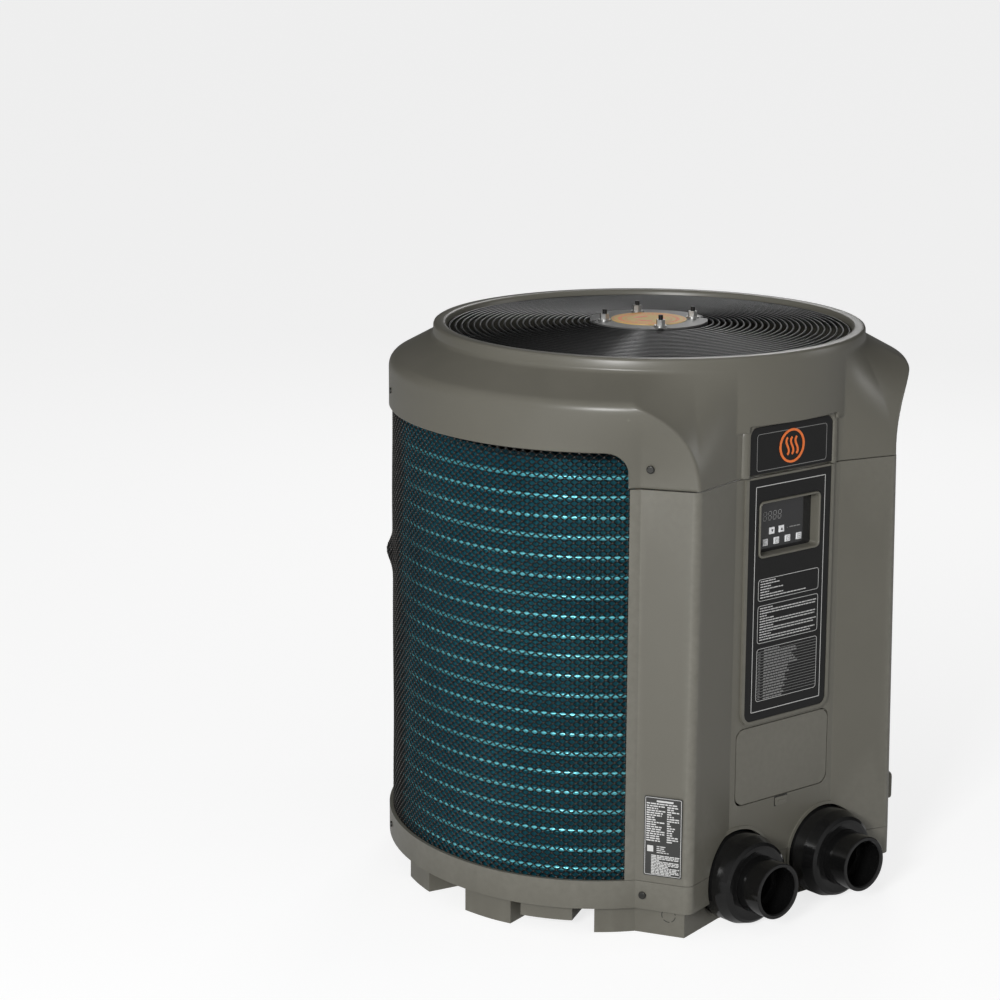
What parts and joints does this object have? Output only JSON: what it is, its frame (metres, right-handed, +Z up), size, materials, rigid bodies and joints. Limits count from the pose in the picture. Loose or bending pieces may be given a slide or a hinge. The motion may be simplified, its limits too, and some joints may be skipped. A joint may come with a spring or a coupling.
{
  "type": "pool heat pump",
  "caption": "Round outdoor heat pump for pool water: fan under a wire guard on top, netted coil round the drum, control panel and two pipe unions in front.",
  "frame": {"origin": "on the drum's vertical axis, at the level of the feet", "axes": "+Z up, the control panel and the water unions face -Y, water in at -X and water out at +X"},
  "size_m": [0.69, 0.6899, 0.7545],
  "materials": {
    "cabinet": "moulded outdoor plastic, satin",
    "union_black": "glossy black pipe fitting",
    "guard_wire": "black coated wire",
    "hub_plate": "dark grey coated steel",
    "hub_label": "printed label",
    "label_black": "black overlay film",
    "emblem": "orange print",
    "rating": "printed foil",
    "screw": "zinc plated",
    "net": "black plastic netting",
    "fin_blue": "blue coated fins",
    "copper": "bare copper tube",
    "brass": "machined brass",
    "galvanised": "galvanised sheet",
    "motor_black": "black painted steel",
    "shaft_steel": "ground steel",
    "blade_grey": "dark coated aluminium",
    "compressor_black": "black painted steel",
    "rubber": "moulded rubber",
    "vessel_grey": "grey pressure plastic",
    "pipe_white": "white pipe",
    "titanium": "titanium tube",
    "housing_grey": "dark grey moulding",
    "key_white": "white keys",
    "board_green": "circuit board",
    "block_beige": "phenolic block"
  },
  "bodies": {
    "casing": {"badge_emblem": "emblem", "badge_plate": "label_black", "base_pan": "cabinet", "capacitor": "galvanised", "case_screws": "screw", "coil_end_plates": "galvanised", "coil_guard_net": "net", "compressor": "compressor_black", "compressor_bolts": "screw", "compressor_grommets": "rubber", "contactor": "block_beige", "control_board": "board_green", "control_housing": "housing_grey", "control_label": "label_black", "discharge_line": "copper", "distributor": "brass", "electrical_box": "galvanised", "evaporator_fins": "fin_blue", "exchanger_lid": "vessel_grey", "exchanger_shell": "vessel_grey", "expansion_valve": "brass", "fan_guard": "guard_wire", "fan_motor": "motor_black", "filter_drier": "copper", "front_panel": "cabinet", "guard_clips": "guard_wire", "hub_label": "hub_label", "hub_plate": "hub_plate", "liquid_line": "copper", "motor_nuts": "screw", "power_inlet": "motor_black", "rating_label": "rating", "return_bends": "copper", "suction_header": "copper", "suction_line": "copper", "terminal_block": "block_beige", "terminal_cover": "compressor_black", "titanium_coil": "titanium", "top_cover": "cabinet", "union_bodies": "union_black", "union_seals": "rubber", "union_tails": "union_black", "water_pipe_in": "pipe_white", "water_pipe_out": "pipe_white", "water_switch": "housing_grey", "wiring_box": "galvanised"},
    "fan": {"motor_shaft": "shaft_steel", "fan_hub": "shaft_steel", "fan_blades": "blade_grey"},
    "nut_in": {"union_nut_in": "union_black"},
    "nut_out": {"union_nut_out": "union_black"},
    "door": {"service_door": "cabinet"},
    "latch": {"service_latch": "cabinet"},
    "plunger": {"contactor_plunger": "housing_grey"},
    "key_down": {"key_down": "key_white"},
    "key_mode": {"key_mode": "key_white"},
    "key_power": {"key_power": "key_white"},
    "key_set": {"key_set": "key_white"},
    "key_timer": {"key_timer": "key_white"},
    "key_up": {"key_up": "key_white"}
  },
  "joints": [
    {"name": "fan_spin", "type": "hinge", "parent": "casing", "child": "fan", "pos_m": [0, 0, 0.6], "axis": [0, 0, 1], "continuous": true},
    {"name": "nut_in_turn", "type": "hinge", "parent": "casing", "child": "nut_in", "pos_m": [-0.078, -0.28, 0.06], "axis": [0, -1, 0], "continuous": true},
    {"name": "nut_out_turn", "type": "hinge", "parent": "casing", "child": "nut_out", "pos_m": [0.078, -0.28, 0.06], "axis": [0, -1, 0], "continuous": true},
    {"name": "door_hinge", "type": "hinge", "parent": "casing", "child": "door", "pos_m": [0, -0.2655, 0.2515], "axis": [-1, 0, 0], "range_deg": [0, 95]},
    {"name": "latch_slide", "type": "slide", "parent": "casing", "child": "latch", "axis": [0, 0, -1], "range_m": [0, 0.005], "stiffness_N_per_m": 150, "springref_m": -0.002},
    {"name": "plunger_press", "type": "slide", "parent": "casing", "child": "plunger", "axis": [0, 1, 0], "range_m": [0, 0.004], "stiffness_N_per_m": 300, "springref_m": -0.001},
    {"name": "key_down_press", "type": "slide", "parent": "casing", "child": "key_down", "axis": [0, 1, 0], "range_m": [0, 0.0008], "stiffness_N_per_m": 400, "springref_m": -0.0005},
    {"name": "key_mode_press", "type": "slide", "parent": "casing", "child": "key_mode", "axis": [0, 1, 0], "range_m": [0, 0.0008], "stiffness_N_per_m": 400, "springref_m": -0.0005},
    {"name": "key_power_press", "type": "slide", "parent": "casing", "child": "key_power", "axis": [0, 1, 0], "range_m": [0, 0.0008], "stiffness_N_per_m": 400, "springref_m": -0.0005},
    {"name": "key_set_press", "type": "slide", "parent": "casing", "child": "key_set", "axis": [0, 1, 0], "range_m": [0, 0.0008], "stiffness_N_per_m": 400, "springref_m": -0.0005},
    {"name": "key_timer_press", "type": "slide", "parent": "casing", "child": "key_timer", "axis": [0, 1, 0], "range_m": [0, 0.0008], "stiffness_N_per_m": 400, "springref_m": -0.0005},
    {"name": "key_up_press", "type": "slide", "parent": "casing", "child": "key_up", "axis": [0, 1, 0], "range_m": [0, 0.0008], "stiffness_N_per_m": 400, "springref_m": -0.0005}
  ]
}
